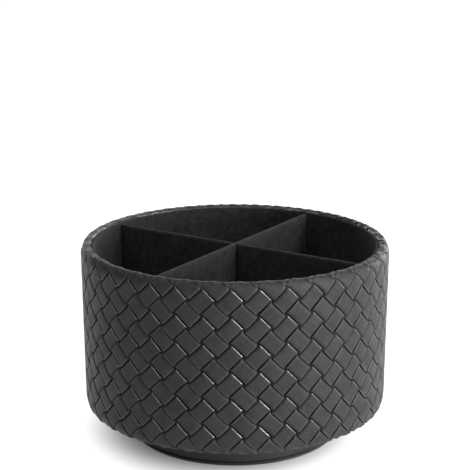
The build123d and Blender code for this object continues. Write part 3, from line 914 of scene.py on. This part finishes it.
card_inset = rim_width + card_thickness
velvet_inset = card_inset + velvet_thickness
card_top = lining_high.z - velvet_thickness
lining_edge, lining_fold = 0.3 * mm, 0.55 * mm
lining_outline = rounded(
    [
        (face_radius(lining_low.z, velvet_inset), lining_low.z),
        (face_radius(lining_low.z, card_inset), lining_low.z),
        (face_radius(card_top, card_inset), card_top),
        (face_radius(card_top, rim_width), card_top),
        (face_radius(lining_high.z, rim_width), lining_high.z, lining_edge),
        (face_radius(lining_high.z, velvet_inset), lining_high.z, lining_fold),
    ]
)
lining_mesh = turned_mesh("wall_lining_velvet_pile", lining_outline, longest=4 * mm, segments=360)
soften(lining_mesh, amount=0.16 * mm, size=16 * mm, seed=5)
lining = new_piece(lining_mesh, velvet, "drum", "velvet", "wall_lining_velvet")


# Floor pad
# A card disc covered with the same velvet, which is turned down round its edge. It lies on the
# floor board under the dividers.

finish_node("floor_pad_card", grey_card)
pad_velvet_low, pad_velvet_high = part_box("floor_pad_velvet")
pad_velvet_radius = pad_velvet_high.x
pad_card_top = pad_velvet_high.z - velvet_thickness
pad_fold = 0.45 * mm
floor_outline = rounded(
    [
        (0, pad_card_top),
        (pad_velvet_radius - velvet_thickness, pad_card_top),
        (pad_velvet_radius - velvet_thickness, pad_velvet_low.z),
        (pad_velvet_radius, pad_velvet_low.z),
        (pad_velvet_radius, pad_velvet_high.z, pad_fold),
        (0, pad_velvet_high.z),
    ]
)
floor_mesh = turned_mesh("floor_pad_velvet_pile", floor_outline, longest=4 * mm, segments=240)
soften(floor_mesh, amount=0.12 * mm, size=18 * mm, seed=6)
floor_velvet = new_piece(floor_mesh, velvet, "drum", "velvet", "floor_pad_velvet")


# Dividers
# Two fibreboards slotted half way through cross each other over the middle of the floor. Each wears
# a velvet sleeve, rounded over its top edge, and its ends press against the lining.

finish_node("divider_board_long", fibreboard)
finish_node("divider_board_cross", fibreboard)
lining_press, top_flat, sleeve_rings = 0.1 * mm, 0.05 * mm, 57


def sleeve_mesh(name, node, along_x):
    """Velvet sleeve over both faces and the top of a divider board, before its slot is cut."""
    low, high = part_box(node)
    half = (high.y - low.y if along_x else high.x - low.x) / 2
    inner = half - velvet_thickness
    reach = (high.x if along_x else high.y) + lining_press
    slope = taper / (rim_level - cover_low.z)
    rounding = half - top_flat
    section = rounded(
        [
            (half, low.z),
            (half, high.z, rounding),
            (-half, high.z, rounding),
            (-half, low.z),
            (-inner, low.z),
            (-inner, high.z - velvet_thickness),
            (inner, high.z - velvet_thickness),
            (inner, low.z),
        ],
        steps=8,
    )
    section = np.array(divided(section, 5 * mm))
    shares = np.linspace(-1, 1, sleeve_rings)
    ends = reach - slope * (high.z - section[:, 1])
    length = shares[:, None] * ends
    width = np.broadcast_to(section[:, 0], length.shape)
    level = np.broadcast_to(section[:, 1], length.shape)
    points = np.stack([length, -width, level] if along_x else [width, length, level], -1)
    mesh = tube_mesh(name, points)
    soften(mesh, amount=0.14 * mm, size=15 * mm, seed=8)
    return mesh


def cut_slot(mesh, low, high, width, length):
    """Takes a square slot out of a mesh, between two levels on the spindle."""
    block = bmesh.new()
    bmesh.ops.create_cube(block, size=1.0)
    bmesh.ops.scale(block, vec=(width, length, high - low), verts=block.verts)
    bmesh.ops.translate(block, vec=(0, 0, (low + high) / 2), verts=block.verts)
    cutter_mesh = shape_mesh("slot", block)
    cutter = new_object("slot", cutter_mesh)
    holder = new_object("slotted", mesh)
    cut = holder.modifiers.new("slot", "BOOLEAN")
    cut.object, cut.operation, cut.solver = cutter, "DIFFERENCE", "EXACT"
    slotted = plain_mesh(holder, mesh.name)
    bpy.data.objects.remove(cutter)
    bpy.data.meshes.remove(cutter_mesh)
    return slotted


sleeve_low, sleeve_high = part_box("divider_velvet_long")
lap_level = (sleeve_low.z + sleeve_high.z) / 2
lap_width, lap_length = 3.2 * mm, 6 * mm
overrun = 1 * mm
for which, along_x in (("long", True), ("cross", False)):
    sleeve = sleeve_mesh(f"divider_velvet_{which}_sleeve", f"divider_velvet_{which}", along_x)
    if along_x:
        sleeve = cut_slot(sleeve, lap_level, sleeve_high.z + overrun, lap_width, lap_length)
    else:
        sleeve = cut_slot(sleeve, sleeve_low.z - overrun, lap_level, lap_length, lap_width)
    sleeve_piece = new_piece(sleeve, velvet, "drum", "velvet", f"divider_velvet_{which}")


# Room
# A plain pale floor and soft studio light, mostly from the upper right. The camera stands a little
# above the table and looks slightly down at the front of the drum.

floor_size = 16.0
floor_shape = bmesh.new()
bmesh.ops.create_grid(floor_shape, x_segments=1, y_segments=1, size=floor_size / 2)
floor_plane = shape_mesh("floor", floor_shape)
floor = new_object("floor", floor_plane)
floor_material, floor_tree, floor_surface, floor_place = new_material("pale_floor")
# The floor glows so that it reads evenly white. Its glow drops to a painted shadow round a point a little
# left of the spindle, away from the lamps, under and beside the drum, and rises a little far away.
shade_middle = (-0.007, -0.004, 0)
shade_reach, shade_glow = (0.052, 0.092), (0.14, 0.95)
room_reach, room_glow = (0.1, 1.2), (0.0, 0.08)
from_shade = calculate_vector(floor_tree, "SUBTRACT", floor_place, shade_middle)
floor_length = add(floor_tree, "ShaderNodeVectorMath", {0: from_shade}, operation="LENGTH")
floor_reach = floor_length.outputs["Value"]
glow_with_painted_shadow = spread(floor_tree, floor_reach, *shade_reach, *shade_glow)
glow_with_painted_shadow.node.interpolation_type = "SMOOTHSTEP"
far_glow = spread(floor_tree, floor_reach, *room_reach, *room_glow)
floor_glow = calculate(floor_tree, "ADD", glow_with_painted_shadow, far_glow)
floor_finish = {
    "Base Color": (0.25, 0.25, 0.25, 1),
    "Emission Color": (1, 1, 1, 1),
    "Emission Strength": floor_glow,
    "Roughness": 0.6,
    "Specular IOR Level": 0.2,
}
feed(floor_tree, floor_surface, floor_finish)
floor_plane.materials.append(floor_material)

view_azimuth, view_elevation = math.radians(32.3), math.radians(14.97)
view_distance, view_level = 0.80325, 0.1205
sensor_width, focal_pixels, image_pixels = 36.0, 1354.89, 470
to_camera = Vector(
    (
        math.sin(view_azimuth) * math.cos(view_elevation),
        -math.cos(view_azimuth) * math.cos(view_elevation),
        math.sin(view_elevation),
    )
)
camera = new_object("camera", bpy.data.cameras.new("camera"))
camera.data.sensor_width = sensor_width
camera.data.lens = sensor_width * focal_pixels / image_pixels
camera.location = Vector((0, 0, view_level)) + to_camera * view_distance
camera.rotation_euler = (-to_camera).to_track_quat("-Z", "Y").to_euler()
camera.data.clip_start, camera.data.clip_end = 0.01, 50
bpy.context.scene.camera = camera

world = bpy.data.worlds.new("white_room")
world.use_nodes = True
world_tree = world.node_tree
seen = add(world_tree, "ShaderNodeLightPath").outputs["Is Camera Ray"]
room_light, seen_light = 0.03, 0.97
seen_strength = calculate(world_tree, "MULTIPLY", seen, seen_light)
world_strength = calculate(world_tree, "ADD", seen_strength, room_light)
feed(world_tree, world_tree.nodes["Background"], {"Color": (1, 1, 1, 1), "Strength": world_strength})
bpy.context.scene.world = world
bpy.context.scene.view_settings.view_transform = "Standard"

view_right = Vector((math.cos(view_azimuth), math.sin(view_azimuth), 0))
view_ahead = Vector((-math.sin(view_azimuth), math.cos(view_azimuth), 0))
lamp_target = Vector((0, 0, 0.06))


def lamp_direction(azimuth, elevation):
    """Direction from the drum, turned to the right of the camera and up by angles in degrees."""
    turn, rise = math.radians(azimuth), math.radians(elevation)
    level = view_right * math.sin(turn) - view_ahead * math.cos(turn)
    return level * math.cos(rise) + Vector((0, 0, math.sin(rise)))


def softbox(name, azimuth, elevation, distance, width, height, power):
    """Lamp with a rectangular face that is aimed at the drum."""
    lamp = new_object(name, bpy.data.lights.new(name, "AREA"))
    lamp.data.shape = "RECTANGLE"
    lamp.data.size, lamp.data.size_y = width, height
    lamp.data.energy = power
    direction = lamp_direction(azimuth, elevation)
    lamp.location = lamp_target + direction * distance
    lamp.rotation_euler = direction.to_track_quat("Z", "Y").to_euler()
    lamp.visible_camera = False


# Each lamp's name, azimuth and elevation in degrees, distance, width and height in metres, and watts.
lamps = (
    ("backdrop", 180, 18, 1.7, 3.4, 1.0, 8.6),
    ("back_high_softbox", 160, 45, 1.4, 0.9, 0.5, 3.0),
    ("right_softbox", 70, 34, 1.4, 0.7, 0.5, 15.8),
    ("front_softbox", 10, 38, 1.5, 0.7, 0.55, 5.1),
    ("low_front_softbox", 35, 16, 1.4, 0.6, 0.45, 2.1),
    ("left_high_softbox", -80, 60, 1.4, 0.8, 0.8, 5.2),
    ("back_left_strip", -150, 14, 1.2, 0.35, 0.6, 2.0),
    ("back_right_strip", 150, 14, 1.2, 0.35, 0.6, 2.8),
    ("front_right_card", 60, 6, 0.9, 0.5, 0.2, 7.0),
    ("back_right_card", 130, 6, 0.9, 0.4, 0.2, 2.6),
)
for lamp in lamps:
    softbox(*lamp)
